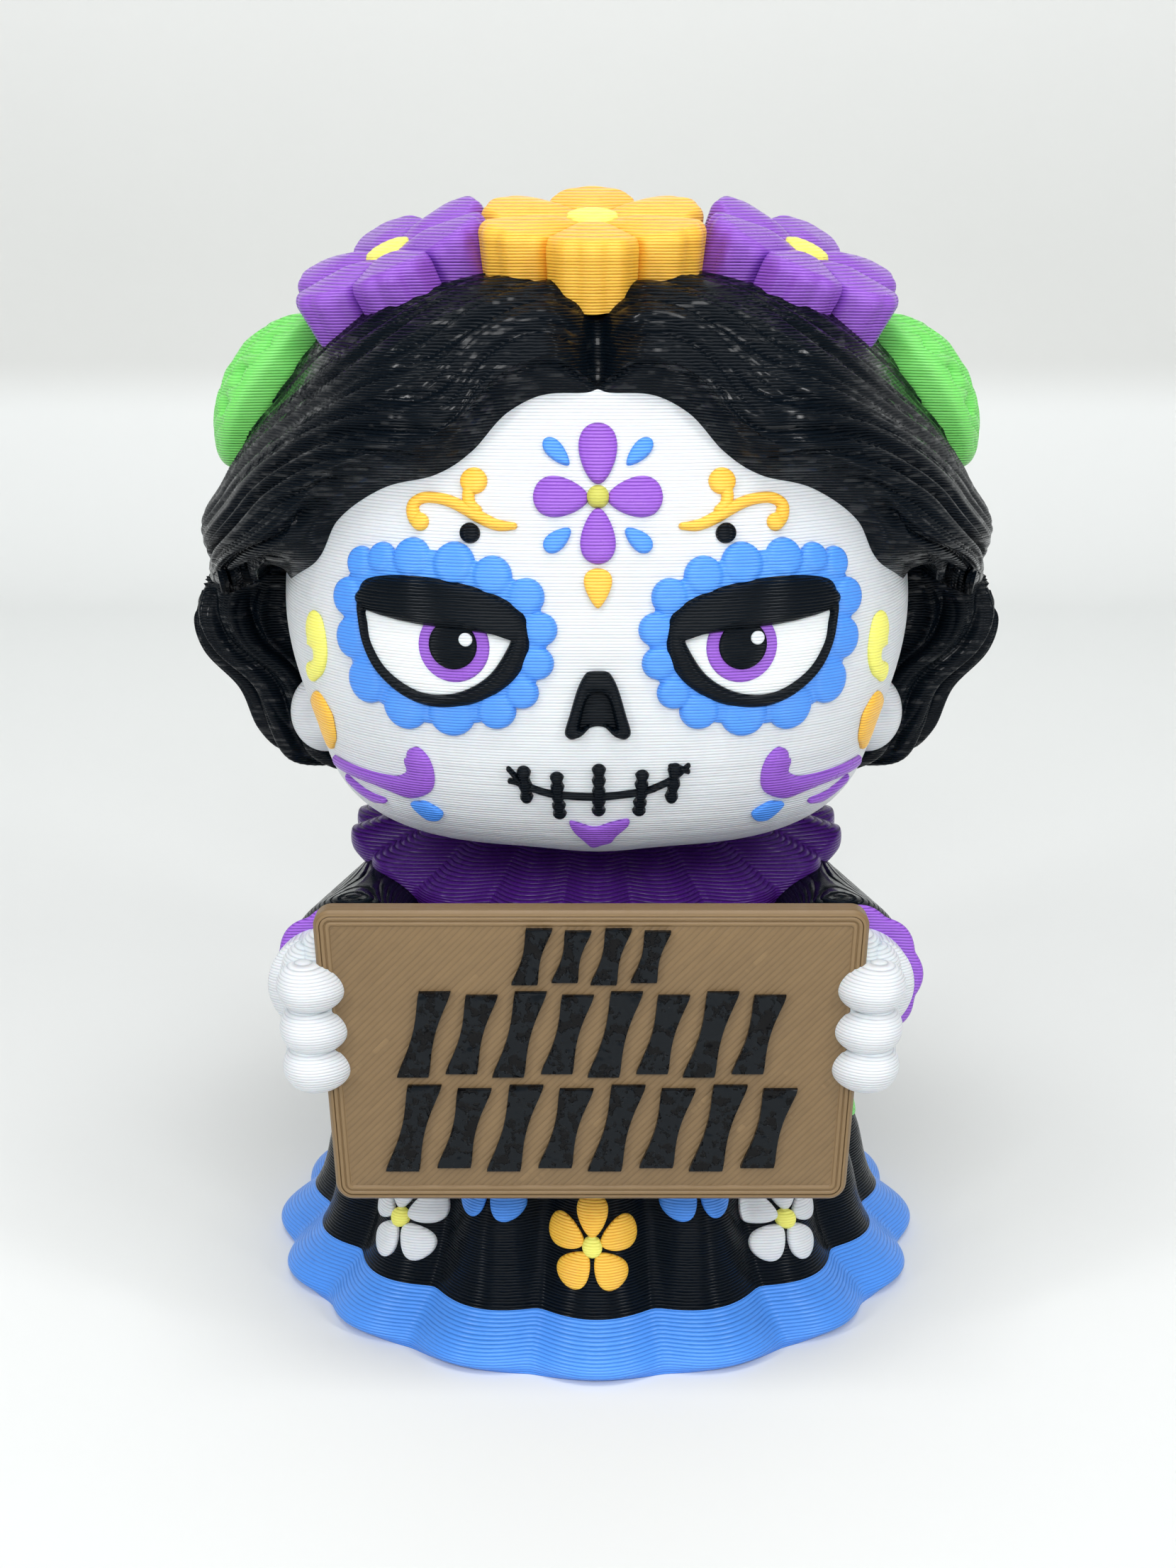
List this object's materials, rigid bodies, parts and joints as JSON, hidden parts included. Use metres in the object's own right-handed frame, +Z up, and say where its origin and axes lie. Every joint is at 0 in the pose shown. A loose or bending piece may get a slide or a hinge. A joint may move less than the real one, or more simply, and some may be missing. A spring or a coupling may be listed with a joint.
{
  "type": "catrina figure",
  "caption": "Small standing catrina figure with a sugar-skull face, a flower crown, a ruffled collar and a bell skirt, holding a flat sign with raised strokes.",
  "frame": {"origin": "centre of the skirt's flat underside", "axes": "+Z up; the figure faces -Y; X = 0 is its middle plane"},
  "size_m": [0.0732, 0.0649, 0.0971],
  "materials": {
    "black_plastic": "printed in fine level layers, glossy",
    "white_plastic": "printed in fine level layers, satin",
    "purple_plastic": "printed in fine level layers, satin",
    "blue_plastic": "printed in fine level layers, satin",
    "orange_plastic": "printed in fine level layers, satin",
    "yellow_plastic": "printed in fine level layers, satin",
    "green_plastic": "printed in fine level layers, satin",
    "brown_plastic": "printed flat, its face in slanting lines",
    "charcoal_plastic": "raised strokes printed flat, uneven gloss"
  },
  "bodies": {
    "root": {"catrina_figure": "black_plastic", "sign_board": "brown_plastic"}
  },
  "joints": []
}
